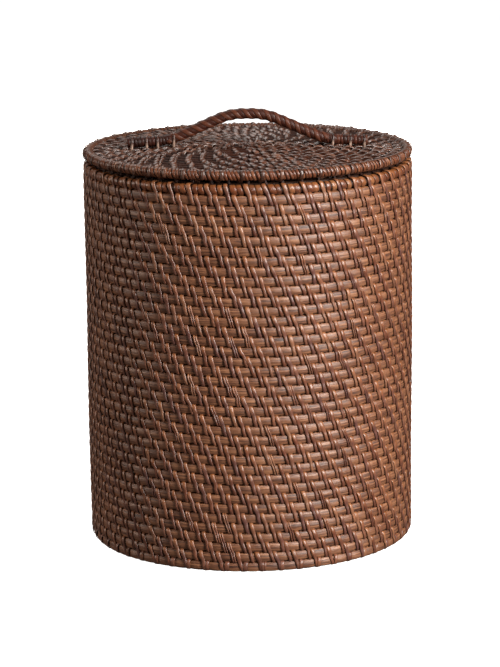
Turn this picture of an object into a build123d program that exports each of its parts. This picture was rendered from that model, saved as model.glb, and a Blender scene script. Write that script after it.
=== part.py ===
from build123d import *
import os
from math import cos, degrees, pi

# Coiled rattan wastebasket with a lift-off lid and a bowed lid handle.
# Round rattan rod runs round and round as courses, and peeled rattan strip lashes each
# course to the next. Millimetres, +Z up, handle along X, origin on the floor at the centre.

# ---- Driving dimensions ----
body_diameter = 266.0        # over the lashing of the wall
rod_diameter = 7.3           # rod of the wall, base and lid disc
strip_thickness = 0.6        # peeled strip that lashes the courses
course_pitch = 7.9           # from one course to the next
wall_courses = 38            # courses of the wall under the rim
wall_staves = 12             # upright parts that the wall's lashing is made in
disc_courses = 15            # courses of the base and of the lid disc, inside the outermost one
rim_rod_diameter = 6.7       # rod of the two rims
wrap_thickness = 0.8         # close wrapping of rims and handle
flattening = 0.3             # how far the underside of the base is pressed flat
fit_gap = 0.02               # rod inside its lashing, wrap beside lashing

lid_gap = 11.3               # basket rim to lid rim, centre to centre
lid_disc_drop = 1.8          # edge of the lid disc below the lid rim, centre to centre
lid_rise = 4.2               # bulge of the lid disc at its middle
seat_rod_diameter = 5.0      # thin rod under the lid that seats in the mouth
seat_clearance = 0.35        # seat to basket rim

handle_core_diameter = 7.0
handle_reach = 97.0          # half length, end to middle
handle_knee = 63.0           # where a foot turns up into the bow
handle_crown = 14.0          # where the bow levels out
handle_lift = 21.0           # rise of the bow over the knees
handle_bend_radius = 50.0
tie_width = 2.8
tie_thickness = 0.7
tie_slack = 0.5              # tie to handle
left_tie_gaps = (4, 5, 6, 8)  # gaps between lid courses that the ties go down, counted inwards
right_tie_gaps = (4, 5, 7)

# ---- Sizes that follow ----
rod_radius = rod_diameter / 2
lashed_radius = rod_radius + strip_thickness
rim_rod_radius = rim_rod_diameter / 2
rim_radius = rim_rod_radius + wrap_thickness
seat_rod_radius = seat_rod_diameter / 2
seat_radius = seat_rod_radius + strip_thickness
handle_radius = handle_core_diameter / 2 + wrap_thickness

wall_radius = body_diameter / 2 - lashed_radius
base_height = lashed_radius - flattening
rim_height = base_height + wall_courses * course_pitch
lid_rim_height = rim_height + lid_gap
lid_disc_height = lid_rim_height - lid_disc_drop
lid_edge_radius = wall_radius - course_pitch
seat_height = lid_disc_height - lashed_radius - seat_radius - fit_gap
seat_reach = rim_radius + seat_radius + seat_clearance
seat_ring_radius = wall_radius - (seat_reach**2 - (seat_height - rim_height) ** 2) ** 0.5


def lid_height(radius):
    """Height of the lid disc's rod centres at a radius: level at the edge, bulging to the middle."""
    return lid_disc_height + lid_rise * 0.5 * (1 + cos(pi * min(radius / lid_edge_radius, 1)))


wall_centres = [(wall_radius, base_height + k * course_pitch) for k in range(wall_courses)]
base_centres = [(wall_radius - k * course_pitch, base_height) for k in range(1, disc_courses + 1)]
lid_radii = [wall_radius - k * course_pitch for k in range(1, disc_courses + 1)]
lid_centres = [(radius, lid_height(radius)) for radius in lid_radii]
rim_centre = (wall_radius, rim_height)
lid_rim_centre = (wall_radius, lid_rim_height)
seat_centre = (seat_ring_radius, seat_height)
knot_radius = base_centres[-1][0] - lashed_radius - fit_gap

os.makedirs("parts", exist_ok=True)


def write(part, name):
    """Label a finished piece and write it as its own STEP file."""
    part.label = name
    export_step(part, f"parts/{name}.step")


def rings(centres, radius):
    """Closed rings of round rod, one solid for each centre of its section."""
    with BuildPart() as rod:
        with BuildSketch(Plane.XZ):
            with Locations(*centres):
                Circle(radius)
        revolve(axis=Axis.Z)
    return rod.part


def sleeve(centres, outer_radius, inner_radius, neighbours=(), arc=360.0):
    """Lashing or wrap round every ring of rod, joined where the turns meet.

    neighbours are (centre, radius) pairs of the sections that it must stay beside, and arc is how many
    degrees of the way round it covers.
    """
    with BuildPart() as wrap:
        with BuildSketch(Plane.XZ):
            with Locations(*centres):
                Circle(outer_radius)
            with Locations(*centres):
                Circle(inner_radius + fit_gap, mode=Mode.SUBTRACT)
            for centre, radius in neighbours:
                with Locations(centre):
                    Circle(radius + fit_gap, mode=Mode.SUBTRACT)
            with Locations((0, -body_diameter)):
                Rectangle(2 * body_diameter, 2 * body_diameter, mode=Mode.SUBTRACT)
        revolve(axis=Axis.Z, revolution_arc=arc)
    return wrap.part


def knot(height):
    """The tight little knot of folded rod and strip that starts a coiled disc."""
    with BuildPart() as start:
        with BuildSketch(Plane.XY.offset(height - base_height)):
            Circle(knot_radius)
        extrude(amount=base_height + lashed_radius)
        crown = start.faces().sort_by(Axis.Z)[-1]
        fillet(crown.edges(), radius=2.4)
    return start.part


# ---- Basket wall: one rod ring for each course, and the lashing round them all, in upright staves ----
for number, centre in enumerate(wall_centres, start=1):
    write(rings([centre], rod_radius), f"wall_course_{number:02d}")
stave_arc = 360 / wall_staves - degrees(fit_gap / wall_radius)
stave = sleeve(wall_centres, lashed_radius, rod_radius, [(rim_centre, rim_radius)], stave_arc)
with BuildPart() as wall_lashing:
    with PolarLocations(0, wall_staves):
        add(stave)
write(wall_lashing.part, "wall_lashing")

# ---- Basket rim ----
write(rings([rim_centre], rim_rod_radius), "rim_rod")
write(sleeve([rim_centre], rim_radius, rim_rod_radius), "rim_wrap")

# ---- Base disc ----
write(rings(base_centres, rod_radius), "base_courses")
write(sleeve(base_centres, lashed_radius, rod_radius, [(wall_centres[0], lashed_radius)]), "base_lashing")
write(knot(base_height), "base_start_knot")

# ---- Lid disc, its rim and the seat ring that drops into the mouth ----
write(rings(lid_centres, rod_radius), "lid_courses")
write(sleeve(lid_centres, lashed_radius, rod_radius, [(lid_rim_centre, rim_radius)]), "lid_lashing")
write(knot(lid_height(0)), "lid_start_knot")
write(rings([lid_rim_centre], rim_rod_radius), "lid_rim_rod")
write(sleeve([lid_rim_centre], rim_radius, rim_rod_radius), "lid_rim_wrap")
write(rings([seat_centre], seat_rod_radius), "lid_seat_rod")
write(sleeve([seat_centre], seat_radius, seat_rod_radius), "lid_seat_lashing")

# ---- Handle: a bowed rod, its wrapping, and the ties that hold its feet to the lid ----
foot_end_height = lid_height(handle_reach) + lashed_radius + handle_radius + fit_gap
knee_height = lid_height(handle_knee) + lashed_radius + handle_radius + fit_gap
crown_height = knee_height + handle_lift
handle_points = [
    (-handle_reach, foot_end_height),
    (-handle_knee, knee_height),
    (-handle_crown, crown_height),
    (handle_crown, crown_height),
    (handle_knee, knee_height),
    (handle_reach, foot_end_height),
]
with BuildLine(Plane.XZ) as handle_line:
    FilletPolyline(*handle_points, radius=handle_bend_radius)
handle_path = handle_line.wire()
handle_start = Plane(origin=handle_path @ 0, x_dir=(0, 1, 0), z_dir=handle_path % 0)

with BuildPart() as handle_core:
    with BuildSketch(handle_start):
        Circle(handle_core_diameter / 2)
    sweep(path=handle_path)
write(handle_core.part, "handle_core")

with BuildPart() as handle_wrap:
    with BuildSketch(handle_start):
        Circle(handle_radius)
        Circle(handle_core_diameter / 2 + fit_gap, mode=Mode.SUBTRACT)
    sweep(path=handle_path)
write(handle_wrap.part, "handle_wrap")


def handle_height(place):
    """Height of the handle's centre line at a place along X, found by halving the path."""
    low, high = 0.0, 1.0
    for _ in range(24):
        middle = (low + high) / 2
        if (handle_path @ middle).X < place:
            low = middle
        else:
            high = middle
    return (handle_path @ low).Z


def handle_ties(gaps, side):
    """Loops of strip over the handle's foot and under the lid disc, one down each gap between courses."""
    inside = handle_radius + tie_slack
    outside = inside + tie_thickness
    with BuildPart() as ties:
        for gap in gaps:
            place = side * (lid_edge_radius - (gap - 0.5) * course_pitch)
            foot = handle_height(place)
            bottom = lid_height(abs(place)) - lashed_radius - fit_gap
            with BuildSketch(Plane.YZ.offset(place - tie_width / 2)):
                with Locations((0, foot)):
                    Circle(outside)
                with Locations((0, bottom - tie_thickness)):
                    Rectangle(2 * outside, foot - bottom + tie_thickness, align=(Align.CENTER, Align.MIN))
                with Locations((0, foot)):
                    Circle(inside, mode=Mode.SUBTRACT)
                with Locations((0, bottom)):
                    Rectangle(2 * inside, foot - bottom, align=(Align.CENTER, Align.MIN), mode=Mode.SUBTRACT)
            extrude(amount=tie_width)
    return ties.part


write(handle_ties(left_tie_gaps, -1), "handle_ties_left")
write(handle_ties(right_tie_gaps, 1), "handle_ties_right")

print("wall ring", round(wall_radius, 2), "rim", round(rim_height, 2), "lid rim", round(lid_rim_height, 2))
print("seat ring", round(seat_ring_radius, 3), round(seat_height, 3))
print("lid disc", round(lid_disc_height, 2), "middle", round(lid_height(0), 2))
print("handle foot", round(foot_end_height, 2), "knee", round(knee_height, 2), "crown", round(crown_height, 2))
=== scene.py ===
from math import cos, pi, radians, sin

import bpy
import numpy as np
from mathutils import Matrix, Vector


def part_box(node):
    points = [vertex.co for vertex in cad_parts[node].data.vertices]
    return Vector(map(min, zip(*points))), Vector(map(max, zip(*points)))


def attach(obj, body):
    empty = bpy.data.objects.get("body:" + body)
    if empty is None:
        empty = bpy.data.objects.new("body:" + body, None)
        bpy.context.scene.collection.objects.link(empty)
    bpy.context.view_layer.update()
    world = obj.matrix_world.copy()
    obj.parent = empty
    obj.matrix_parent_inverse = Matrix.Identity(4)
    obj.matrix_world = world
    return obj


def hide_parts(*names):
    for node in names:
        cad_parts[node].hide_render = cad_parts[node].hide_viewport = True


# A coiled rattan wastebasket. Rods run round it as courses, and a peeled strip loops over each
# pair of courses in stitch after stitch. Metres. An angle of -90 degrees is the front, towards -Y,
# and a growing angle runs to the right as seen from the front.

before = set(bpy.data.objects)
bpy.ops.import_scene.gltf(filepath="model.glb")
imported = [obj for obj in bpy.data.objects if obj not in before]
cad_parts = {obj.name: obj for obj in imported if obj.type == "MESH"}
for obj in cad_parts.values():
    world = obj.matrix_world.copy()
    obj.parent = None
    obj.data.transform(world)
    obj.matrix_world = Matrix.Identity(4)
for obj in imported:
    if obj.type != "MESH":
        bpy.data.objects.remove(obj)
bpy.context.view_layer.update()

# ---- Stitch and strip sizes ----
STITCHES_ROUND_WALL = 55
WALL_ROW_SHIFT = 0.415        # of a stitch pitch, from a row to the row below
LID_STITCH_PITCH = 0.0150
DISC_ROW_SHIFT = 0.45         # of the gap between two stitches, from a row to the next row outwards
STITCH_LEAN = 0.31            # sideways run over the run across the courses
STITCH_WIDTH = 0.0034
STITCH_THICKNESS = 0.00095
STITCH_DIP = 0.0005           # how far a stitch sags into the groove between its two courses
BEND_ROOM = 0.0006            # how far past a rod a stitch's bend may reach, up to the next course
DOUBLED_SHARE = 0.10          # stitches made of two narrow strips
DISC_DOUBLED_SHARE = 0.04
PRESSED_HEIGHT = 0.0050       # below it a stitch is pressed flat by the basket's weight
PRESSED_SHARE = 0.22          # of its thickness, at the floor
LID_STITCH_LEAN = 0.55
LID_STITCH_THICKNESS = 0.0012
LID_STITCH_DIP = 0.0018
LID_STITCH_WIDTH = 0.0043
LID_STITCH_TAIL = 0.45        # width of a lid stitch at its inner end, as a share of its outer end
LID_STITCH_SINK = 0.0008      # how far its inner end is tucked into the course before
RIM_WRAPS_PER_STITCH = 3
RIM_WRAP_WIDTH = 0.0051
RIM_WRAP_THICKNESS = 0.00068
LID_RIM_WRAPS = 262
LID_RIM_WRAP_WIDTH = 0.0029
LID_RIM_WRAP_LEAN = 0.42
LID_RIM_WRAP_LIFT = 0.00012
RIM_WRAP_LEAN = 0.28
RIM_WRAP_LIFT = 0.00015       # most that a wrap stands off its rod
RIM_WRAP_SHIFT = 0.30         # of the room of one wrap, back from an even place beside the stitch
SEAT_STITCH_WIDTH = 0.0026
SEAT_STITCH_THICKNESS = 0.0005
SEAT_FIRST_ANGLE = 0.02
FIRST_DISC_STITCHES = 9       # in the innermost row of a disc
TIGHT_ROW_RADIUS = 0.02
TIGHT_ROW_WIDTH = 0.6         # share of their width that stitches have within that radius
WALL_ROD_PIECES = 4           # mesh objects that the wall's rods are made in
WALL_STITCH_PIECES = 8

# ---- Rod shape ----
WALL_ROD_SQUARENESS = 3.9     # exponent of the rod's section, where 2 is round
DISC_ROD_SQUARENESS = 2.05
KNOT_SQUARENESS = 2.6
DISC_ROD_NARROWING = 0.94     # above, a disc's rods leave dark gaps between them
DISC_ROD_SPREAD = 1.22        # below, their width as a share of the pitch, which closes the gaps
ROD_TOUCH = 0.00018           # gap left between neighbouring courses
ROD_STEP = 0.0028             # length of a mesh face along a rod
PINCHED_ROD_STEP = 0.0016
FEWEST_ROD_STEPS = 36
ROD_SIDES = 12
PINCH_REACH = 0.0021          # how far from a stitch a rod is pinched
PINCH_OUT = 0.10              # how much thinner it gets there, as a share of the rod
PINCH_UP = 0.08
ROD_SWELL = 0.012, 0.010      # of its two waves of thickness
ROD_WANDER_OUT = 0.00012
ROD_WANDER_UP = 0.00008

# ---- Drift of a hand-made wall, in two waves outwards and two upwards ----
SWAY_OUT = 0.00045, 0.00025
SWAY_UP = 0.00040, 0.00022
SWAY_INSET = 0.0005           # keeps the outward drift within the outline
SWAY_END = 0.05               # it dies out over this height below the rim
SWAY_START = 0.06             # and its upward part sets in over this height above the floor

# ---- Unevenness of the stitches and wraps ----
START_SCATTER = 0.00035       # of the place round a ring
LEAN_SCATTER = 0.045
BOW, BOW_SCATTER = 0.0003, 0.0003     # sideways
WIDTH_SPREAD = 0.86, 1.14
MOST_LIFT = 0.0002            # off the rod
TWIN_WIDTH = 0.50             # of each half of a doubled stitch, as a share of a whole one
TWIN_APART = 0.00088
TWIN_SEED_STEP = 0.13
WRAP_START_SCATTER = 0.0003
WRAP_LEAN_SCATTER = 0.09
WRAP_WIDTH_SPREAD = 0.82, 1.06
WRAP_POINTS = 14

# ---- Handle ----
HANDLE_KNEE = 0.063           # where a foot turns up into the bow
HANDLE_CROWN = 0.014          # where the bow levels out
HANDLE_BEND = 0.050           # radius of its bends
HANDLE_STARTS = 2             # pairs of strips, one raised and one matt, wound side by side
HANDLE_TURN = 0.0170          # length of handle for one turn of its strips
HANDLE_TWIST_HALF = 0.068     # from the middle to where a foot's wrapping begins
HANDLE_TWIST_POINTS = 260
HANDLE_STRIP_FILL = 0.86      # of a strip's room, before it is widened
FOOT_WRAP_PITCH = 0.0028
FOOT_WRAP_THICKNESS = 0.0005
FOOT_WRAP_POINTS = 20
FOOT_WRAP_LAP = 0.004         # how far they run on over the strips' ends
FOOT_WRAP_LEAN, FOOT_WRAP_LEAN_SCATTER = 0.12, 0.07
FOOT_WRAP_LIFTS = 0.0001, 0.0003
FOOT_WRAP_WIDTH_SPREAD = 0.9, 1.15
RAISED_STRIP = 0.114, 0.00105, 1.12   # seed, which picks the tone, thickness, and how much it is widened
MATT_STRIP = 0.058, 0.0006, 1.06
# The left foot keeps to darker tones than the right: painted shade on the left, painted light on the right
# where the key light falls
LEFT_FOOT_SHADED_SEEDS = 0.05        # seeds run up to this, so a low value keeps to the dark tones
RIGHT_FOOT_LIT_SEEDS = 0.11
LEFT_TIES = (-0.0930, -0.0812, -0.0724, -0.0592)
RIGHT_TIES = (0.0692, 0.0834, 0.0945)
TIE_WIDTH = 0.0020
TIE_THICKNESS = 0.0007
TIE_ROOM = 0.0007             # from the core's surface to the tie
TIE_DEPTH = 0.0004            # below the lid's rods
TIE_TILT_SCATTER = 0.06
TIE_BARE_FROM = 0.0002        # below the handle's centre line, a tie turns bare
TIE_BARE_FADE = 0.002

# Across and height of a strip's domed section, as shares of half its width and of its thickness
SECTION_ACROSS = np.array([-1.0, -0.78, -0.32, 0.32, 0.78, 1.0, 0.82, -0.82])
SECTION_HEIGHT = np.array([0.2, 0.74, 1.0, 1.0, 0.74, 0.2, 0.0, 0.0])
SECTION_POINTS = len(SECTION_ACROSS)


# ---- Where the CAD frame puts the rods ----
def ring_of(node):
    """(ring radius, height, rod radius) of a CAD node that is one ring of round rod."""
    low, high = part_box(node)
    rod = (high.z - low.z) / 2
    return high.x - rod, (high.z + low.z) / 2, rod


wall_nodes = sorted(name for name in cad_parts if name.startswith("wall_course_"))
wall_rings = [ring_of(name) for name in wall_nodes]
rim_ring = ring_of("rim_rod")
lid_rim_ring = ring_of("lid_rim_rod")
seat_ring = ring_of("lid_seat_rod")
wall_radius, floor_course_height, rod_radius = wall_rings[0]
pitch = wall_rings[1][1] - wall_rings[0][1]
disc_count = int((wall_radius - pitch / 2) / pitch)

lid_low, lid_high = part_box("lid_courses")
lid_edge_height = lid_low.z + rod_radius
lid_edge_radius = lid_high.x - rod_radius
lid_rise = lid_high.z - rod_radius - lid_edge_height


def lid_height(radius):
    """Height of the lid disc's rod centres at a radius."""
    return lid_edge_height + lid_rise * 0.5 * (1 + cos(pi * min(radius / lid_edge_radius, 1)))


disc_radii = [wall_radius - k * pitch for k in range(1, disc_count + 1)]
base_rings = [(radius, floor_course_height, rod_radius) for radius in disc_radii]
lid_rings = [(radius, lid_height(radius), rod_radius) for radius in disc_radii]
knot_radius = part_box("lid_start_knot")[1].x


def sway(angle, height):
    """(outward, upward) drift of a hand-made wall away from the true cylinder, which ends at the rim."""
    out = SWAY_OUT[0] * np.sin(2 * angle + 9 * height)
    out = out + SWAY_OUT[1] * np.sin(5 * angle - 31 * height + 1.0)
    up = SWAY_UP[0] * np.sin(angle + 0.6) + SWAY_UP[1] * np.sin(3 * angle + 14 * height)
    below_rim = min(1.0, max(0.0, (rim_ring[1] - height) / SWAY_END))
    return (out - SWAY_INSET) * below_rim, up * below_rim * min(1.0, height / SWAY_START)


def at(radius, height, angle):
    """Points, or normals, from cylinder coordinates."""
    return np.stack([radius * np.cos(angle), radius * np.sin(angle), height + 0 * angle], -1)


# ---- Mesh making ----
def mesh_object(name, vertices, quads, attributes, material):
    """A smooth mesh object from arrays of vertices and quads, with named point attributes."""
    mesh = bpy.data.meshes.new(name)
    mesh.vertices.add(len(vertices))
    mesh.vertices.foreach_set("co", np.asarray(vertices, np.float32).ravel())
    mesh.loops.add(4 * len(quads))
    mesh.loops.foreach_set("vertex_index", np.asarray(quads, np.int32).ravel())
    mesh.polygons.add(len(quads))
    mesh.polygons.foreach_set("loop_start", np.arange(0, 4 * len(quads), 4, dtype=np.int32))
    mesh.update(calc_edges=True)
    mesh.shade_smooth()
    for key, values in attributes.items():
        values = np.asarray(values, np.float32)
        kind = "FLOAT_VECTOR" if values.ndim == 2 else "FLOAT"
        layer = mesh.attributes.new(key, kind, "POINT")
        layer.data.foreach_set("vector" if values.ndim == 2 else "value", values.ravel())
    mesh.materials.append(material)
    obj = bpy.data.objects.new(name, mesh)
    bpy.context.scene.collection.objects.link(obj)
    return obj


def squared(wave, squareness):
    """A sine or cosine pushed out towards the corners of a squarish section."""
    return np.sign(wave) * np.abs(wave) ** (2 / squareness)


def unit(vectors):
    """Vectors scaled to length 1."""
    return vectors / np.maximum(np.linalg.norm(vectors, axis=-1, keepdims=True), 1e-12)


def grid_quads(rows, columns, wrap_rows):
    """Quads of a grid whose columns close on themselves, and whose rows do if wrap_rows says so."""
    i = np.arange(rows if wrap_rows else rows - 1)
    j = np.arange(columns)
    i, j = np.meshgrid(i, j, indexing="ij")
    i_next, j_next = (i + 1) % rows, (j + 1) % columns
    corners = (i, j), (i, j_next), (i_next, j_next), (i_next, j)
    return np.stack([row * columns + column for row, column in corners], -1).reshape(-1, 4)


def rods(name, rings, stacked_up, seed, material, crossings=None):
    """Rings of rattan rod, a little squared and uneven.

    stacked_up says that they lie one on another and sway, as in the wall, and not side by side in a disc.
    crossings holds the angles at which stitches press on each ring, and the rod bulges between them.
    """
    random = np.random.default_rng(seed)
    all_vertices, all_quads, all_grain, all_groove = [], [], [], []
    start = 0
    turn = np.linspace(0, 2 * pi, ROD_SIDES, endpoint=False)
    squareness = WALL_ROD_SQUARENESS if stacked_up else DISC_ROD_SQUARENESS
    for ring, (radius, height, rod) in enumerate(rings):
        steps = max(FEWEST_ROD_STEPS, int(2 * pi * radius / (PINCHED_ROD_STEP if crossings else ROD_STEP)))
        angle = np.linspace(0, 2 * pi, steps, endpoint=False)
        phase = random.uniform(0, 2 * pi, 4)
        swell = 1 + ROD_SWELL[0] * np.sin(4 * angle + phase[0])
        swell = (swell + ROD_SWELL[1] * np.sin(9 * angle + phase[1]))[:, None]
        out, up = sway(angle, height) if stacked_up else (0 * angle, 0 * angle)
        out = out + ROD_WANDER_OUT * np.sin(3 * angle + phase[2])
        up = up + ROD_WANDER_UP * np.sin(5 * angle + phase[3])
        angle_grid, turn_grid = np.meshgrid(angle, turn, indexing="ij")
        if stacked_up:
            half_out, half_up, swell_up = rod, pitch / 2 - ROD_TOUCH / 2, 1
        else:
            lower_half = np.sin(turn_grid) < -0.1
            half_out = np.where(lower_half, pitch / 2 * DISC_ROD_SPREAD, rod * DISC_ROD_NARROWING)
            half_up, swell_up = rod, swell
        r = radius + out[:, None] + half_out * squared(np.cos(turn_grid), squareness) * swell
        pinch = np.zeros((steps, 1))
        if crossings:
            apart = np.abs((angle[:, None] - crossings[ring][None] + pi) % (2 * pi) - pi).min(1)
            pinch = np.exp(-(apart * radius / PINCH_REACH) ** 2)[:, None]
        r = r - PINCH_OUT * rod * pinch * np.cos(turn_grid)
        rise = half_up * squared(np.sin(turn_grid), squareness) * swell_up * (1.02 - PINCH_UP * pinch)
        z = np.maximum(height + up[:, None] + rise, 0.0)
        all_vertices.append(at(r, z, angle_grid).reshape(-1, 3))
        all_quads.append(start + grid_quads(steps, ROD_SIDES, True))
        across = rod * (turn_grid - 2 * pi * (turn_grid > pi))
        grain = np.stack([across, radius * angle_grid, 0 * across + random.uniform(0, 1)], -1)
        all_grain.append(grain.reshape(-1, 3))
        # Near the stitches the groove value is raised, so the rod material's painted groove shade reaches
        # there too
        groove = (np.sin(turn_grid) if stacked_up else np.cos(turn_grid)) * (1 + 0.3 * pinch)
        all_groove.append(groove.ravel())
        start += steps * ROD_SIDES
    attributes = {"grain": np.concatenate(all_grain), "groove": np.concatenate(all_groove)}
    quads = np.concatenate(all_quads)[:, ::-1]
    return mesh_object(name, np.concatenate(all_vertices), quads, attributes, material)


def strips(name, loops, material):
    """Domed strips along paths.

    Each entry of loops holds n strips of m points: points and normals [n, m, 3], seeds [n], and widths and
    thickness, as one number or [n, m]. It may have tips [n, m], which is where the material's tip colour
    goes, and closed as False for strips with two ends. A 1 may stand for n or m.
    """
    all_vertices, all_quads, all_strip, all_tip = [], [], [], []
    start = 0
    for loop in loops:
        points, normals, closed = loop["points"], loop["normals"], loop.get("closed", True)
        n, m = points.shape[:2]
        if closed:
            ahead, behind = np.roll(points, -1, 1), np.roll(points, 1, 1)
        else:
            ahead = np.concatenate([points[:, 1:], 2 * points[:, -1:] - points[:, -2:-1]], 1)
            behind = np.concatenate([2 * points[:, :1] - points[:, 1:2], points[:, :-1]], 1)
        tangent = unit(ahead - behind)
        side = unit(np.cross(tangent, normals))
        normal = np.cross(side, tangent)
        half = np.broadcast_to(loop["widths"] / 2, (n, m))[..., None] * SECTION_ACROSS
        rise = np.broadcast_to(loop["thickness"], (n, m))[..., None] * SECTION_HEIGHT
        vertices = points[:, :, None] + side[:, :, None] * half[..., None]
        vertices = vertices + normal[:, :, None] * rise[..., None]
        vertices[..., 2] = np.maximum(vertices[..., 2], 0.0)
        all_vertices.append(vertices.reshape(-1, 3))
        quads = grid_quads(m, SECTION_POINTS, closed)
        if not closed:
            # Three quads across the section close each end
            cap = np.array([[0, 1, 6, 7], [1, 2, 5, 6], [2, 3, 4, 5]])
            quads = np.concatenate([quads, cap[:, ::-1], cap + (m - 1) * SECTION_POINTS])
        offsets = start + np.arange(n) * m * SECTION_POINTS
        all_quads.append((offsets[:, None, None] + quads[None]).reshape(-1, 4))
        step = np.linalg.norm(np.diff(points, axis=1, append=points[:, :1]), axis=-1)
        along = np.cumsum(step, 1) - step
        shape = (n, m, SECTION_POINTS)
        parts = SECTION_ACROSS, along[..., None], loop["seeds"][:, None, None]
        strip = np.stack([np.broadcast_to(part, shape) for part in parts], -1)
        all_strip.append(strip.reshape(-1, 3))
        tips = np.asarray(loop.get("tips", 0.0))
        all_tip.append(np.broadcast_to(tips[..., None], shape).ravel())
        start += n * m * SECTION_POINTS
    attributes = {"strip": np.concatenate(all_strip), "tip": np.concatenate(all_tip)}
    return mesh_object(name, np.concatenate(all_vertices), np.concatenate(all_quads), attributes, material)


# ---- Stitches ----
def loop_outline(first, second, sag):
    """The closed path of a stitch round the rods of two rings, in the plane through the axis.

    It starts on the shown side at the first ring, goes to the second, round it, back on the hidden side and
    round the first. Gives arrays: radius, height, outward normal in that plane, share of the way from first
    to second (beyond 0 and 1 at the ends), and shown (1 on the shown side, 0 on the hidden side). Last comes
    the distance between the two rods' centres.
    """
    a, b = np.array(first[:2]), np.array(second[:2])
    reach = np.linalg.norm(b - a)
    along = (b - a) / reach
    outward = np.array([along[1], -along[0]])
    shares, places, normals, shown = [], [], [], []

    def add(place, normal, share, is_shown):
        places.append(place)
        normals.append(normal)
        shares.append(share)
        shown.append(is_shown)

    def bend(centre, rod, sign, share):
        """Round the side of one rod that is away from the other."""
        half_along = min(reach / 2, rod + BEND_ROOM)
        for turn in (0.16, 0.34, 0.5, 0.66, 0.84):
            c, s = cos(turn * pi), sin(turn * pi)
            flat, bent = squared(c, WALL_ROD_SQUARENESS), squared(s, WALL_ROD_SQUARENESS)
            place = centre + outward * sign * rod * flat + along * sign * half_along * bent
            normal = outward * sign * c + along * sign * s
            add(place, normal, share + sign * half_along * bent / reach, float(sign * c > 0))

    for share in (0.0, 0.17, 0.34, 0.5, 0.66, 0.83, 1.0):
        rod = first[2] + (second[2] - first[2]) * share
        slope = -pi * sin(2 * pi * share) * sag / reach
        off_axis = outward * (rod - sag * sin(pi * share) ** 2)
        add(a + along * reach * share + off_axis, outward - along * slope, share, 1.0)
    bend(b, second[2], 1, 1.0)
    for share in (1.0, 0.66, 0.34, 0.0):
        rod = first[2] + (second[2] - first[2]) * share
        add(a + along * reach * share - outward * rod, -outward, share, 0.0)
    bend(a, first[2], -1, 0.0)
    places = np.array(places)
    return places[:, 0], places[:, 1], np.array(normals), np.array(shares), np.array(shown), reach


def stitch_row(first, second, starts, random, width=STITCH_WIDTH, lean=STITCH_LEAN, swaying=True,
               doubled=DOUBLED_SHARE, thickness=STITCH_THICKNESS, sag=STITCH_DIP, tail=None):
    """Stitches at the angles in starts, each looped round two rings, as one entry for strips().

    doubled is the share of stitches made of two narrow strips. tail, for a disc, is the width of a stitch's
    far end as a share of its near end, and that end is tucked in.
    """
    radius, height, normal, share, shown, reach = loop_outline(first, second, sag)
    n = len(starts)
    twin = random.random(n) < doubled
    starts = starts + random.normal(0, START_SCATTER, n) / max(first[0], second[0])
    leans = lean + random.normal(0, LEAN_SCATTER, n)
    bows = random.normal(BOW, BOW_SCATTER, n)
    widths = width * random.uniform(*WIDTH_SPREAD, n)
    lifts = random.uniform(0, MOST_LIFT, n)
    seeds = random.random(n)
    # The second strip of each doubled stitch comes after all the first ones
    index = np.concatenate([np.arange(n), np.nonzero(twin)[0]])
    seconds = int(twin.sum())
    widths = np.where(twin, widths * TWIN_WIDTH, widths)[index]
    gap = TWIN_APART * np.concatenate([np.where(twin, -1.0, 0.0), np.ones(seconds)])
    starts, leans, bows, lifts = starts[index], leans[index], bows[index], lifts[index]
    seeds = (seeds[index] + np.concatenate([np.zeros(n), np.full(seconds, TWIN_SEED_STEP)])) % 1
    middle = (share - 0.5) * reach
    bow = np.sin(pi * np.clip(share, 0, 1))
    sideways = -leans[:, None] * middle[None] + bows[:, None] * bow[None] + gap[:, None]
    angle = starts[:, None] + sideways / radius[None]
    tucked = np.clip((share - 0.5) / 0.4, 0, 1) * shown * (0.0 if tail is None else LID_STITCH_SINK)
    off_rod = lifts[:, None] - tucked[None]
    r = radius[None] + off_rod * normal[None, :, 0]
    z = height[None] + off_rod * normal[None, :, 1]
    if swaying:
        out, up = sway(angle, (first[1] + second[1]) / 2)
        r, z = r + out, z + up
    points = at(r, z, angle)
    normals = at(normal[None, :, 0], normal[None, :, 1], angle)
    # A wall's stitch widens a little on its way, and a disc's narrows to its tail
    if tail is None:
        taper = 0.80 + 0.28 * np.clip(share, 0, 1)
    else:
        taper = 1 + (tail - 1) * np.clip((share - 0.35) / 0.75, 0, 1)
    tips = np.clip((share - 0.93) / 0.3, 0, 1) * shown
    pressed = np.clip(points[..., 2] / PRESSED_HEIGHT, PRESSED_SHARE, 1)
    return {
        "points": points, "normals": normals, "seeds": seeds,
        "widths": widths[:, None] * taper[None], "thickness": thickness * pressed,
        "tips": tips[None] * (points[..., 2] > PRESSED_HEIGHT),
    }


def even_angles(count, first_angle):
    """Angles of so many evenly spaced stitches."""
    return first_angle + 2 * pi * np.arange(count) / count


def outer_top(turn):
    """The upper bend of a wrap as seen from outside, where turn 0 is outwards and pi / 2 is up."""
    return np.clip((np.sin(turn) - 0.45) / 0.5, 0, 1) * (np.cos(turn) > -0.3)


def inner_top(turn):
    """The upper and inner side of a wrap."""
    return np.clip((0.8 * np.sin(turn) - 0.6 * np.cos(turn) - 0.1) / 0.6, 0, 1)


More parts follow.
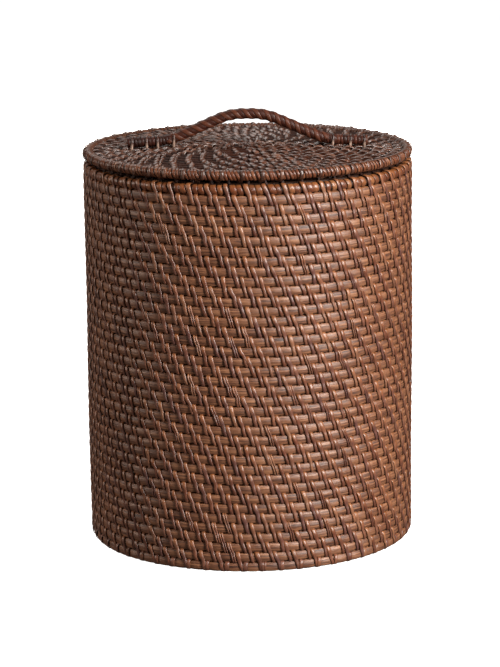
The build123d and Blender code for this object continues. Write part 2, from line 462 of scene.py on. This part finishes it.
def wraps_round(ring, starts, random, width, lean=RIM_WRAP_LEAN, swaying=True, lift=RIM_WRAP_LIFT,
                tip=outer_top):
    """Short strips wound once round a single ring of rod. tip gives the side that takes the tip colour."""
    radius, height, rod = ring
    turn = np.linspace(0, 2 * pi, WRAP_POINTS, endpoint=False)
    n = len(starts)
    starts = starts + random.normal(0, WRAP_START_SCATTER, n) / radius
    widths = width * random.uniform(*WRAP_WIDTH_SPREAD, n)
    leans = lean + random.normal(0, WRAP_LEAN_SCATTER, n)
    lifts = random.uniform(0, lift, n)
    up = np.sin(turn)
    angle = starts[:, None] - leans[:, None] * rod * up[None] / radius
    r = radius + (rod + lifts[:, None]) * np.cos(turn)[None]
    z = height + (rod + lifts[:, None]) * up[None]
    if swaying:
        out, rise = sway(angle, height)
        r, z = r + out, z + rise
    return {
        "points": at(r, z, angle), "normals": at(np.cos(turn)[None], up[None], angle),
        "seeds": random.random(n),
        "widths": widths[:, None], "thickness": RIM_WRAP_THICKNESS, "tips": tip(turn)[None],
    }


# ---- Materials ----
class Shader:
    """Wires up the nodes of one procedural material."""

    def __init__(self, name):
        self.material = bpy.data.materials.new(name)
        self.material.use_nodes = True
        self.tree = self.material.node_tree
        self.surface = self.tree.nodes["Principled BSDF"]

    def node(self, kind, **inputs):
        """A node with its named inputs fed. An underscore stands for a space."""
        node = self.tree.nodes.new(kind)
        for key, value in inputs.items():
            self.feed(node.inputs[key.replace("_", " ")], value)
        return node

    def feed(self, socket, value):
        """Link a socket, or set its value."""
        if isinstance(value, bpy.types.NodeSocket):
            self.tree.links.new(value, socket)
        else:
            socket.default_value = value

    def attribute(self, name, output="Vector"):
        node = self.tree.nodes.new("ShaderNodeAttribute")
        node.attribute_name = name
        return node.outputs[output]

    def scaled(self, vector, x, y, z):
        """The vector with each axis stretched."""
        node = self.tree.nodes.new("ShaderNodeVectorMath")
        node.operation = "MULTIPLY"
        self.feed(node.inputs[0], vector)
        node.inputs[1].default_value = (x, y, z)
        return node.outputs["Vector"]

    def noise(self, vector, scale=1.0, detail=3.0, roughness=0.55):
        node = self.node("ShaderNodeTexNoise", Vector=vector, Scale=scale, Detail=detail, Roughness=roughness)
        return node.outputs["Fac"]

    def math(self, operation, a, b=0.0, clamp=False):
        node = self.tree.nodes.new("ShaderNodeMath")
        node.operation = operation
        node.use_clamp = clamp
        self.feed(node.inputs[0], a)
        self.feed(node.inputs[1], b)
        return node.outputs["Value"]

    def ramp(self, factor, stops):
        """A colour that runs through stops of (place, colour)."""
        node = self.tree.nodes.new("ShaderNodeValToRGB")
        elements = node.color_ramp.elements
        elements[0].position, elements[0].color = stops[0][0], (*stops[0][1], 1)
        elements[1].position, elements[1].color = stops[-1][0], (*stops[-1][1], 1)
        for place, colour in stops[1:-1]:
            elements.new(place).color = (*colour, 1)
        self.feed(node.inputs["Fac"], factor)
        return node.outputs["Color"]

    def grey(self, factor, low, high, from_value=0.0, to_value=1.0):
        """The factor's range from low to high, spread over the values given."""
        node = self.node("ShaderNodeMapRange", Value=factor, From_Min=low, From_Max=high,
                         To_Min=from_value, To_Max=to_value)
        return node.outputs["Result"]

    def mix(self, factor, a, b, blend="MIX"):
        node = self.tree.nodes.new("ShaderNodeMix")
        node.data_type = "RGBA"
        node.blend_type = blend
        self.feed(node.inputs[0], factor)
        self.feed(node.inputs[6], a if isinstance(a, bpy.types.NodeSocket) else (*a, 1))
        self.feed(node.inputs[7], b if isinstance(b, bpy.types.NodeSocket) else (*b, 1))
        return node.outputs[2]

    def split(self, vector):
        """The vector's three numbers."""
        node = self.tree.nodes.new("ShaderNodeSeparateXYZ")
        self.feed(node.inputs[0], vector)
        return node.outputs

    def finish(self, colour, roughness, height, bump_distance, coat=0.0, coat_roughness=0.2, specular=0.5):
        bump = self.node("ShaderNodeBump", Height=height, Strength=1.0, Distance=bump_distance)
        look = {"Base Color": colour, "Roughness": roughness, "Coat Weight": coat,
                "Coat Roughness": coat_roughness, "Specular IOR Level": specular,
                "Normal": bump.outputs["Normal"]}
        for key, value in look.items():
            self.feed(self.surface.inputs[key], value)
        return self.material


def strip_material(name, tones, tip_colour=None, tip_share=0.0, gloss=0.30, coat=0.35, specular=0.5,
                   coat_roughness=0.16):
    """Peeled rattan strip: a tone for each strip, streaks along it, painted shade along its edges and maybe a
    coloured tip.

    gloss is about the roughness beside the dark streaks, and tip_share how strong the tip's colour is.
    """
    shader = Shader(name)
    strip = shader.attribute("strip")
    across, _, seed = shader.split(strip)
    streaks = shader.noise(shader.scaled(strip, 3.4, 70.0, 173.0), detail=4.0, roughness=0.62)
    fine = shader.noise(shader.scaled(strip, 11.0, 130.0, 511.0), detail=2.0)
    blotches = shader.noise(shader.scaled(strip, 0.7, 190.0, 37.0), detail=2.0)
    tone = shader.ramp(shader.math("FRACT", shader.math("MULTIPLY", seed, 7.31)), tones)
    streak_tone, fine_tone, blotch_tone = (
        shader.mix(1.0, tone, tint, "MULTIPLY") for tint in (STREAK_TINT, FINE_TINT, BLOTCH_TINT))
    colour = shader.mix(shader.grey(streaks, 0.34, 0.62), streak_tone, tone)
    colour = shader.mix(shader.grey(fine, 0.35, 0.75, 0.0, 0.35), colour, fine_tone)
    colour = shader.mix(shader.grey(blotches, 0.45, 0.72, 0.0, 0.5), colour, blotch_tone)
    # Painted shade: the strip darkens towards both edges, where it meets the rods and its neighbours
    edge_shade = shader.math("POWER", shader.math("ABSOLUTE", across), 5.0)
    colour = shader.mix(shader.math("MULTIPLY", edge_shade, 0.6), colour, STRIP_EDGE_SHADE)
    if tip_colour:
        tip = shader.attribute("tip", "Fac")
        tip_mask = shader.math("MULTIPLY", tip, shader.grey(blotches, 0.3, 0.6, 0.45, 1.0))
        colour = shader.mix(shader.math("MULTIPLY", tip_mask, tip_share, True), colour, tip_colour)
    roughness = shader.grey(streaks, 0.3, 0.7, gloss + 0.14, gloss - 0.04)
    height = shader.math("ADD", shader.math("MULTIPLY", streaks, 0.8), shader.math("MULTIPLY", fine, 0.5))
    return shader.finish(colour, roughness, height, STRIP_BUMP, coat, coat_roughness, specular)


def rod_material(name, dark, middle, light, fringe, shade_from, specular):
    """Rattan rod: fine grain along it and patches of tone, with painted shade darkening it towards the
    grooves, beyond a given groove value.

    fringe says how strong the amber is that shows beside the upper groove: partly the rod's own colour,
    partly a painted highlight along its upper edge.
    """
    shader = Shader(name)
    grain = shader.attribute("grain")
    groove = shader.attribute("groove", "Fac")
    fibres = shader.noise(shader.scaled(grain, 1100.0, 32.0, 97.0), detail=4.0, roughness=0.72)
    bands = shader.noise(shader.scaled(grain, 900.0, 20.0, 41.0), detail=3.0)
    patches = shader.noise(shader.scaled(grain, 60.0, 32.0, 13.0), detail=2.0)
    colour = shader.ramp(fibres, [(0.38, dark), (0.50, middle), (0.64, light)])
    colour = shader.mix(shader.grey(bands, 0.45, 0.68, 0.0, 0.5), colour, dark)
    colour = shader.mix(shader.grey(patches, 0.40, 0.66, 0.0, 0.22), colour, light)
    by_groove, patchy = shader.grey(groove, 0.62, 0.88), shader.grey(patches, 0.36, 0.62, 0.2, 1.0)
    # Amber beside the upper groove: partly the rod's own colour, partly a painted highlight along the upper
    # edge
    amber = shader.math("MULTIPLY", by_groove, patchy)
    colour = shader.mix(shader.math("MULTIPLY", amber, fringe), colour, AMBER)
    # Painted shade: the rod darkens towards its grooves, where shadow falls between courses and beside the
    # stitches
    groove_shade = shader.grey(shader.math("ABSOLUTE", groove), shade_from, 1.0)
    colour = shader.mix(shader.math("MULTIPLY", groove_shade, 0.8), colour, ROD_GROOVE_SHADE)
    roughness = shader.grey(fibres, 0.3, 0.7, 0.56, 0.40)
    height = shader.math("ADD", fibres, shader.math("MULTIPLY", bands, 0.8))
    return shader.finish(colour, roughness, height, ROD_BUMP, specular=specular)


def solid_rod_material(name, dark, light):
    """Grain for the CAD rods that show only between wraps, from their place in the object."""
    shader = Shader(name)
    place = shader.node("ShaderNodeTexCoord").outputs["Object"]
    grain = shader.noise(shader.scaled(place, 900.0, 900.0, 2400.0), detail=3.0)
    colour = shader.ramp(grain, [(0.32, dark), (0.70, light)])
    return shader.finish(colour, shader.grey(grain, 0.3, 0.7, 0.6, 0.45), grain, CORE_BUMP)


LASHING_TONES = [
    (0.0, (0.13, 0.044, 0.025)), (0.22, (0.205, 0.08, 0.044)), (0.42, (0.14, 0.06, 0.048)),
    (0.62, (0.25, 0.104, 0.056)), (0.80, (0.15, 0.061, 0.041)), (1.0, (0.31, 0.145, 0.078)),
]
# Lid strip tones: a darker copy of the wall strips' tones, as painted shade over the lid's top
LID_STRIP_SHADED_TONES = [
    (0.0, (0.068, 0.025, 0.014)), (0.30, (0.112, 0.051, 0.034)), (0.55, (0.092, 0.045, 0.031)),
    (0.80, (0.135, 0.05, 0.026)), (1.0, (0.19, 0.093, 0.06)),
]
RIM_TONES = [
    (0.0, (0.115, 0.034, 0.014)), (0.30, (0.20, 0.064, 0.024)), (0.55, (0.15, 0.052, 0.026)),
    (0.80, (0.24, 0.086, 0.032)), (1.0, (0.32, 0.14, 0.06)),
]
LID_RIM_TONES = [
    (0.0, (0.125, 0.041, 0.019)), (0.30, (0.185, 0.063, 0.028)), (0.55, (0.15, 0.056, 0.031)),
    (0.80, (0.215, 0.082, 0.039)), (1.0, (0.275, 0.12, 0.062)),
]
HANDLE_TONES = [
    (0.0, (0.024, 0.008, 0.005)), (0.35, (0.044, 0.012, 0.007)), (0.65, (0.078, 0.022, 0.012)),
    (1.0, (0.125, 0.042, 0.021)),
]
TIE_TONES = [(0.0, (0.03, 0.01, 0.006)), (0.5, (0.05, 0.017, 0.01)), (1.0, (0.075, 0.028, 0.017))]
# Amber of the strips' worn tips, and of the rods' upper edges, where it is partly a painted highlight
AMBER = (0.36, 0.130, 0.034)
# Darker colour on the upper, inner side of each lid rim wrap
RIM_TOP_DARK = (0.060, 0.024, 0.014)
BARE = (0.50, 0.34, 0.26)
# Colour of the painted shade along a strip's edges
STRIP_EDGE_SHADE = (0.014, 0.005, 0.002)
# Colour of the painted shade in a rod's grooves
ROD_GROOVE_SHADE = (0.014, 0.004, 0.001)
# What a strip's tone is multiplied by in its dark streaks, its pale fibres and its warm blotches
STREAK_TINT = (0.42, 0.36, 0.34)
FINE_TINT = (1.5, 1.45, 1.4)
BLOTCH_TINT = (1.28, 0.95, 0.8)
# Depth of the bumps
STRIP_BUMP = 0.00022
ROD_BUMP = 0.00040
CORE_BUMP = 0.0002

# Dark, middle and light of the grain
WALL_ROD_TONES = (0.045, 0.012, 0.004), (0.180, 0.064, 0.027), (0.370, 0.170, 0.084)
# The lid rods' tones are a darker copy of the wall rods', as painted shade over the lid's top
LID_ROD_SHADED_TONES = (0.008, 0.002, 0.001), (0.034, 0.009, 0.004), (0.075, 0.022, 0.009)
rod_brown = rod_material("rattan_rod", *WALL_ROD_TONES, fringe=0.5, shade_from=0.91, specular=0.8)
# The lid's rods also take painted groove shade from a lower groove value, so it reaches up their sides
lid_brown_shaded = rod_material("lid_rod_shaded", *LID_ROD_SHADED_TONES, fringe=0.0, shade_from=0.45, specular=0.06)
core_brown = solid_rod_material("rattan_core", (0.016, 0.006, 0.003), (0.060, 0.022, 0.011))
lashing = strip_material("lashing_strip", LASHING_TONES, AMBER, tip_share=0.5, coat=0.5, coat_roughness=0.27)
# Lid strips: darker tones as painted shade over the lid's top
lid_lashing_shaded = strip_material("lid_strip_shaded", LID_STRIP_SHADED_TONES, gloss=0.29, coat=0.55)
rim_strip = strip_material("rim_strip", RIM_TONES, AMBER, tip_share=0.45)
lid_rim_strip = strip_material("lid_rim_strip", LID_RIM_TONES, RIM_TOP_DARK, tip_share=0.85, coat=0.42,
                               specular=0.3)
handle_strip = strip_material("handle_strip", HANDLE_TONES, gloss=0.40, coat=0.10, specular=0.25)
tie_strip = strip_material("tie_strip", TIE_TONES, BARE, tip_share=0.9, coat=0.25)
# The seat stitches take the dark tie tones as painted shade, in the gap under the lid's rim
seat_lashing_shaded = strip_material("seat_strip_shaded", TIE_TONES, gloss=0.45, coat=0.0)


def keep(obj, body, slot, *nodes):
    """The piece rides on its body and stands for its CAD nodes; its slot is not used."""
    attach(obj, body)
    if nodes:
        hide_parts(*nodes)


# ---- Basket wall ----
def wall_starts(row):
    """Angles of the stitches of a row, where row 0 ties the wall to the base."""
    from_top = len(wall_rings) - row
    first_angle = -pi / 2 + from_top * WALL_ROW_SHIFT * 2 * pi / STITCHES_ROUND_WALL
    return even_angles(STITCHES_ROUND_WALL, first_angle)


def parted(count, parts):
    """Slices that share so many items out between parts."""
    size = -(-count // parts)
    return [slice(start, start + size) for start in range(0, count, size)]


def basket_wall():
    """Wall rods and stitches, each in several mesh objects."""
    slant = STITCH_LEAN * pitch / 2 / wall_radius
    crossings = [np.concatenate([wall_starts(ring) - slant, wall_starts(ring + 1) + slant])
                 for ring in range(len(wall_rings))]
    for band, chosen in enumerate(parted(len(wall_rings), WALL_ROD_PIECES)):
        piece = rods(f"wall_rods_{band + 1}", wall_rings[chosen], True, 100 + band, rod_brown,
                     crossings=crossings[chosen])
        keep(piece, "basket", "rattan_rod", *wall_nodes[chosen])
    random = np.random.default_rng(11)
    stack = [base_rings[0]] + wall_rings + [rim_ring]
    rows = [stitch_row(lower, upper, wall_starts(row), random)
            for row, (lower, upper) in enumerate(zip(stack[:-1], stack[1:]))]
    for number, chosen in enumerate(parted(len(rows), WALL_STITCH_PIECES)):
        piece = strips(f"wall_stitches_{number + 1}", rows[chosen], lashing)
        keep(piece, "basket", "lashing_strip", *(["wall_lashing"] if number == 0 else []))


def basket_rim():
    """Wraps of the rim, between the stitches that tie it to the wall."""
    random = np.random.default_rng(12)
    wraps = []
    for place in range(1, RIM_WRAPS_PER_STITCH):
        apart = 2 * pi / STITCHES_ROUND_WALL / RIM_WRAPS_PER_STITCH
        first_angle = -pi / 2 + (place - RIM_WRAP_SHIFT) * apart
        starts = even_angles(STITCHES_ROUND_WALL, first_angle)
        wraps.append(wraps_round(rim_ring, starts, random, RIM_WRAP_WIDTH))
    piece = strips("rim_wrap_strips", wraps, rim_strip)
    keep(piece, "basket", "rim_strip", "rim_wrap")


# ---- Coiled discs of the base and the lid ----
def disc_starts(middles, random):
    """Angles of the stitches of each row, from the innermost row outwards.

    Each stitch comes up between two stitches of the row before, and where the gaps have grown too wide,
    one takes two stitches.
    """
    angles = even_angles(FIRST_DISC_STITCHES, -pi / 2)
    rows = [angles]
    for middle in middles[1:]:
        gaps = np.diff(angles, append=angles[0] + 2 * pi)
        extra = max(0, round(2 * pi * middle / LID_STITCH_PITCH) - len(angles))
        split = np.argsort(-gaps * random.uniform(0.97, 1.03, len(gaps)))[:extra]
        placed = angles + DISC_ROW_SHIFT * gaps
        placed[split] -= 0.2 * gaps[split]
        added = angles[split] + (DISC_ROW_SHIFT + 0.3) * gaps[split]
        angles = np.sort(np.concatenate([placed, added]))
        for _ in range(4):    # evens the row out a little
            ahead = np.append(angles[1:], angles[0] + 2 * pi)
            behind = np.insert(angles[:-1], 0, angles[-1] - 2 * pi)
            angles = angles + 0.3 * ((ahead + behind) / 2 - angles)
        rows.append(angles)
    return rows


def disc_rows(rings, from_outside, random):
    """Rows of stitches between neighbouring rings of a disc. from_outside gives them the upper side."""
    pairs = list(zip(rings[:-1], rings[1:]))[::-1]
    middles = [(outer[0] + inner[0]) / 2 for outer, inner in pairs]
    lean = LID_STITCH_LEAN if from_outside else -LID_STITCH_LEAN
    rows = []
    for (outer, inner), middle, starts in zip(pairs, middles, disc_starts(middles, random)):
        pair = (outer, inner) if from_outside else (inner, outer)
        width = LID_STITCH_WIDTH * (1 if middle > TIGHT_ROW_RADIUS else TIGHT_ROW_WIDTH)
        rows.append(stitch_row(*pair, starts, random, width, lean, False, DISC_DOUBLED_SHARE,
                               LID_STITCH_THICKNESS, LID_STITCH_DIP, LID_STITCH_TAIL))
    return rows


def knot_ring(height):
    """The ring that the innermost stitches go round, in the knot."""
    return (knot_radius / 2, height, rod_radius)


def knot(name, height, seed, material):
    """The domed start of a coiled disc, lapped by the fold of its own rod."""
    random = np.random.default_rng(seed)
    sides = 36
    rise = np.linspace(-pi / 2 + 0.02, pi / 2 - 0.02, 15)
    angle = np.linspace(0, 2 * pi, sides, endpoint=False)
    lobes = 1 + 0.05 * np.sin(3 * angle + random.uniform(0, 2 * pi))
    radius = knot_radius * np.outer(squared(np.cos(rise), KNOT_SQUARENESS), lobes)
    up = height + rod_radius * np.outer(squared(np.sin(rise), KNOT_SQUARENESS), np.ones(sides))
    vertices = at(radius, up, angle).reshape(-1, 3)
    poles = [[0, 0, height - rod_radius], [0, 0, height + rod_radius]]
    vertices = np.concatenate([vertices, poles])
    quads = grid_quads(len(rise), sides, False)
    # Each pole is closed by quads that take two sides of the last ring at a time
    pairs = np.arange(0, sides, 2)
    last = (len(rise) - 1) * sides
    low_pole = np.full(len(pairs), len(vertices) - 2)
    high_pole = np.full(len(pairs), len(vertices) - 1)
    after, beyond = pairs + 1, (pairs + 2) % sides
    low_cap = np.stack([low_pole, beyond, after, pairs], -1)
    high_cap = np.stack([high_pole, last + pairs, last + after, last + beyond], -1)
    quads = np.concatenate([quads, low_cap, high_cap])
    grain = vertices * np.array([1, 1, 0]) + np.array([0, 0, 0.5])
    # The groove value peaks round the knot's side, where the rod material paints shade
    groove = np.concatenate([np.outer(np.cos(rise) ** 4, np.ones(sides)).ravel(), [0, 0]])
    return mesh_object(name, vertices, quads, {"grain": grain, "groove": groove}, material)


def disc(prefix, body, rings, middle_height, knot_height, from_outside, random, seed, rod_look, strip_look,
         more_rows=()):
    """The rods, stitches and start knot of a coiled disc.

    middle_height is where the innermost stitches go round the knot.
    """
    piece = rods(f"{prefix}_rods", rings, False, seed, rod_look)
    keep(piece, body, "rattan_rod", f"{prefix}_courses")
    rows = disc_rows(rings + [knot_ring(middle_height)], from_outside, random) + list(more_rows)
    keep(strips(f"{prefix}_stitches", rows, strip_look), body, "lashing_strip", f"{prefix}_lashing")
    piece = knot(f"{prefix}_knot", knot_height, seed + 1, rod_look)
    keep(piece, body, "lashing_strip", f"{prefix}_start_knot")


def lid():
    """The coiled lid, its wrapped rim and the lashed seat ring under it."""
    random = np.random.default_rng(31)
    starts = even_angles(round(2 * pi * lid_rim_ring[0] / LID_STITCH_PITCH), 0.0)
    edge_row = stitch_row(lid_rim_ring, lid_rings[0], starts, random, LID_RIM_WRAP_WIDTH, LID_RIM_WRAP_LEAN,
                          False, 0, RIM_WRAP_THICKNESS, LID_STITCH_DIP, LID_STITCH_WIDTH / LID_RIM_WRAP_WIDTH)
    disc("lid", "lid", lid_rings, lid_height(knot_radius), lid_height(0), True, random, 301, lid_brown_shaded,
         lid_lashing_shaded, [edge_row])
    starts = even_angles(LID_RIM_WRAPS, 0.0)
    wraps = wraps_round(lid_rim_ring, starts, random, LID_RIM_WRAP_WIDTH, LID_RIM_WRAP_LEAN, False,
                        LID_RIM_WRAP_LIFT, inner_top)
    piece = strips("lid_rim_wrap_strips", [wraps], lid_rim_strip)
    keep(piece, "lid", "rim_strip", "lid_rim_wrap")
    starts = even_angles(STITCHES_ROUND_WALL, SEAT_FIRST_ANGLE)
    row = stitch_row(seat_ring, lid_rings[0], starts, random, SEAT_STITCH_WIDTH, swaying=False, doubled=0,
                     thickness=SEAT_STITCH_THICKNESS, sag=0.0)
    piece = strips("lid_seat_stitches", [row], seat_lashing_shaded)
    keep(piece, "lid", "lashing_strip", "lid_seat_lashing")


# ---- Handle ----
def handle_line():
    """Points of the handle's centre line from left to right, the length up to each, and the core's radius."""
    core_low, core_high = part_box("handle_core")
    wrap_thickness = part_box("handle_wrap")[1].z - core_high.z
    core = (core_high.y - core_low.y) / 2
    crown_height = core_high.z - core
    seat_low, seat_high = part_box("lid_seat_lashing")
    lashed = rod_radius + ((seat_high.z - seat_low.z) / 2 - seat_ring[2])
    foot_height = lid_height(core_high.x) + lashed + core + wrap_thickness
    knee_height = lid_height(HANDLE_KNEE) + lashed + core + wrap_thickness
    end = core_high.x - 0.0001
    half = [(HANDLE_CROWN, crown_height), (HANDLE_KNEE, knee_height), (end, foot_height)]
    corners = [np.array([-x, z]) for x, z in reversed(half)] + [np.array([x, z]) for x, z in half]
    line = [corners[0]]
    # Each corner between two straight runs becomes an arc
    for before, corner, after in zip(corners[:-2], corners[1:-1], corners[2:]):
        to_before, to_after = unit(before - corner), unit(after - corner)
        half_turn = np.arccos(np.clip(-to_before @ to_after, -1, 1)) / 2
        inward = unit(to_before + to_after)
        centre = corner + inward * HANDLE_BEND / cos(half_turn)
        across = unit(to_after - to_before)
        for share in np.linspace(-1, 1, 9):
            lean = share * half_turn
            line.append(centre + HANDLE_BEND * (-inward * cos(lean) + across * sin(lean)))
    line.append(corners[-1])
    line = np.array(line)
    lengths = np.concatenate([[0], np.cumsum(np.linalg.norm(np.diff(line, axis=0), axis=1))])
    return line, lengths, core


def tie(place, foot_height, core, random):
    """A strip over the handle's foot and under the lid, as one entry for strips(), bare in its lower part."""
    below = lid_height(abs(place)) - rod_radius - TIE_DEPTH
    drop = foot_height - below
    radius = core + TIE_ROOM
    arc = np.linspace(0, pi, 11)
    down = np.array([0.25, 0.55, 0.9])
    y = np.concatenate([radius * np.cos(arc), [-radius] * 3, [-radius * 0.6, radius * 0.6], [radius] * 3])
    z = np.concatenate([foot_height + radius * np.sin(arc), foot_height - drop * down,
                        [below, below], foot_height - drop * down[::-1]])
    x = place + random.normal(0, TIE_TILT_SCATTER) * (z - foot_height)
    points = np.stack([x, y, z], -1)
    middle = np.array([place, 0, (foot_height + below) / 2])
    normals = unit((points - middle) * np.array([0, 1, 1]))
    return {
        "points": points[None], "normals": normals[None], "seeds": np.array([random.random()]),
        "widths": TIE_WIDTH, "thickness": TIE_THICKNESS,
        "tips": np.clip((foot_height - TIE_BARE_FROM - z) / TIE_BARE_FADE, 0, 1)[None],
    }


def handle():
    """The handle's wrapping: strips wound along the bow, close wraps round the feet, and the ties."""
    random = np.random.default_rng(41)
    line, lengths, core = handle_line()
    total = lengths[-1]

    def centre(distance):
        return np.stack([np.interp(distance, lengths, line[:, axis]) for axis in (0, 1)], -1)

    def tube_point(distance, turn, radius):
        """Points and normals, by length along the handle, turn round it and radius off its centre line."""
        x, z = np.moveaxis(centre(distance), -1, 0)
        tx, tz = np.moveaxis(unit(centre(distance + 0.0005) - centre(distance - 0.0005)), -1, 0)
        normal = np.stack([-tz * np.sin(turn), -np.cos(turn), tx * np.sin(turn)], -1)
        return np.stack([x, 0 * x, z], -1) + normal * radius, normal

    loops = []
    foot = total / 2 - HANDLE_TWIST_HALF
    distance = np.linspace(foot, total - foot, HANDLE_TWIST_POINTS)
    spacing = HANDLE_TURN / (2 * HANDLE_STARTS) * HANDLE_STRIP_FILL
    for start in range(2 * HANDLE_STARTS):
        seed, thickness, widening = RAISED_STRIP if start % 2 == 0 else MATT_STRIP
        turn = -2 * pi * (distance - foot) / HANDLE_TURN + start * pi / HANDLE_STARTS
        points, normals = tube_point(distance, turn, core)
        loops.append({
            "points": points[None], "normals": normals[None], "closed": False, "seeds": np.array([seed]),
            "widths": spacing * widening, "thickness": thickness,
        })
    turn = np.linspace(0, 2 * pi, FOOT_WRAP_POINTS, endpoint=False)
    for side in (-1, 1):
        count = int((foot + FOOT_WRAP_LAP) / FOOT_WRAP_PITCH)
        middles = FOOT_WRAP_PITCH * (0.5 + np.arange(count))
        middles = middles if side < 0 else total - middles
        lean = FOOT_WRAP_LEAN + random.normal(0, FOOT_WRAP_LEAN_SCATTER, count)
        distance = middles[:, None] - core * lean[:, None] * np.sin(turn)[None]
        lifts = core + random.uniform(*FOOT_WRAP_LIFTS, count)
        turns = np.broadcast_to(turn, distance.shape)
        points, normals = tube_point(distance, turns, lifts[:, None, None])
        # Darker tones on the left foot and lighter on the right: painted shade and painted light
        seeds = (LEFT_FOOT_SHADED_SEEDS if side < 0 else RIGHT_FOOT_LIT_SEEDS) * random.random(count)
        if side > 0:
            seeds[0] = RAISED_STRIP[0]
        widths = FOOT_WRAP_PITCH * random.uniform(*FOOT_WRAP_WIDTH_SPREAD, count)
        loops.append({
            "points": points, "normals": normals, "seeds": seeds,
            "widths": widths[:, None], "thickness": FOOT_WRAP_THICKNESS,
        })
    piece = strips("handle_wrap_strips", loops, handle_strip)
    keep(piece, "lid", "handle_strip", "handle_wrap")

    for side, places in (("left", LEFT_TIES), ("right", RIGHT_TIES)):
        heights = np.interp(places, line[:, 0], line[:, 1])
        loops = [tie(place, height, core, random) for place, height in zip(places, heights)]
        piece = strips(f"handle_tie_strips_{side}", loops, tie_strip)
        keep(piece, "lid", "handle_strip", f"handle_ties_{side}")


basket_wall()
basket_rim()
disc("base", "basket", base_rings, floor_course_height, floor_course_height, False,
     np.random.default_rng(21), 201, rod_brown, lashing)
lid()
handle()
for node in ("rim_rod", "lid_rim_rod", "lid_seat_rod", "handle_core"):
    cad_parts[node].data.materials[0] = core_brown


# ---- Stage, light and camera ----
STAGE_RADIUS = 4.0
STAGE_SIDES = 96
FLOOR_GLOW = 1.2
BACKDROP_GLOW = 1.0
LIGHT_TARGET = (0, 0, 0.18)


def add_to_stage(obj):
    """The object stands on or before it, but neither mirrors it nor is lit by it."""
    obj.visible_diffuse = False
    obj.visible_glossy = False


def stage():
    """A pale floor and a white dome that the camera sees."""
    shader = Shader("pale_floor")
    place = shader.node("ShaderNodeTexCoord").outputs["Object"]
    speckle = shader.noise(place, scale=30.0, detail=2.0)
    colour = shader.ramp(speckle, [(0.3, (0.86, 0.86, 0.86)), (0.7, (0.90, 0.90, 0.90))])
    shader.feed(shader.surface.inputs["Emission Color"], colour)
    shader.surface.inputs["Emission Strength"].default_value = FLOOR_GLOW
    material = shader.finish(colour, 0.8, speckle, 0.0001, specular=0.1)
    turn = np.linspace(0, 2 * pi, STAGE_SIDES, endpoint=False)
    radii = np.array([0.02, 0.5, 1.5, STAGE_RADIUS])[:, None]
    quads = grid_quads(len(radii), STAGE_SIDES, False)[:, ::-1]
    floor = mesh_object("floor", at(radii, 0.0, turn[None] + 0 * radii).reshape(-1, 3), quads, {}, material)
    add_to_stage(floor)

    shader = Shader("pale_backdrop")
    shader.surface.inputs["Base Color"].default_value = (0, 0, 0, 1)
    shader.surface.inputs["Emission Color"].default_value = (1, 1, 1, 1)
    shader.surface.inputs["Emission Strength"].default_value = BACKDROP_GLOW
    lean = np.linspace(-0.03, pi / 2 - 0.01, 24)[:, None]
    points = STAGE_RADIUS * at(np.cos(lean), np.sin(lean), turn[None] + 0 * lean)
    quads = grid_quads(len(lean), STAGE_SIDES, False)
    dome = mesh_object("backdrop", points.reshape(-1, 3), quads, {}, shader.material)
    add_to_stage(dome)
    dome.visible_shadow = False


def area_light(name, place, width, height, power, colour):
    """A rectangular softbox that faces the basket, of a power in watts."""
    light = bpy.data.lights.new(name, "AREA")
    light.shape = "RECTANGLE"
    light.size = width
    light.size_y = height
    light.energy = power
    light.color = colour
    obj = bpy.data.objects.new(name, light)
    obj.location = place
    obj.rotation_euler = (Vector(LIGHT_TARGET) - Vector(place)).to_track_quat("-Z", "Y").to_euler()
    bpy.context.scene.collection.objects.link(obj)
    return obj


def lights():
    """A tall key light from the front right, and weaker ones from above, the left and low behind."""
    world = bpy.data.worlds.new("studio")
    world.use_nodes = True
    background = world.node_tree.nodes["Background"]
    background.inputs["Color"].default_value = (1.0, 0.87, 0.76, 1)
    background.inputs["Strength"].default_value = 0.11
    bpy.context.scene.world = world
    area_light("key", (1.58, -1.42, 1.15), 0.55, 1.9, 109.0, (1.0, 0.96, 0.92))
    area_light("overhead_back", (-0.5, 1.1, 1.8), 1.6, 1.2, 15.0, (1.0, 0.97, 0.94))
    area_light("left_fill", (-2.4, -0.1, 0.9), 1.2, 1.2, 22.0, (1.0, 0.83, 0.71))
    back = area_light("back_fill", (0.3, 2.3, 0.13), 1.8, 0.25, 32.0, (1.0, 0.93, 0.87))
    back.visible_glossy = False


def camera():
    """The camera stands a little above the lid, as far off as the outline's perspective needs."""
    aim_height = 0.1475
    distance = 2.261
    elevation = radians(12.85)
    looks_at = Vector((0.0004, 0, 0.1634))
    roll = Matrix.Rotation(radians(-0.63), 4, "Z")
    data = bpy.data.cameras.new("camera")
    data.lens = 148.4
    data.sensor_width = 36.0
    obj = bpy.data.objects.new("camera", data)
    obj.location = (0, -distance * cos(elevation), aim_height + distance * sin(elevation))
    facing = (looks_at - obj.location).to_track_quat("-Z", "Y").to_matrix().to_4x4()
    obj.matrix_world = Matrix.Translation(obj.location) @ facing @ roll
    bpy.context.scene.collection.objects.link(obj)
    bpy.context.scene.camera = obj
    bpy.context.scene.view_settings.view_transform = "Standard"


stage()
lights()
camera()
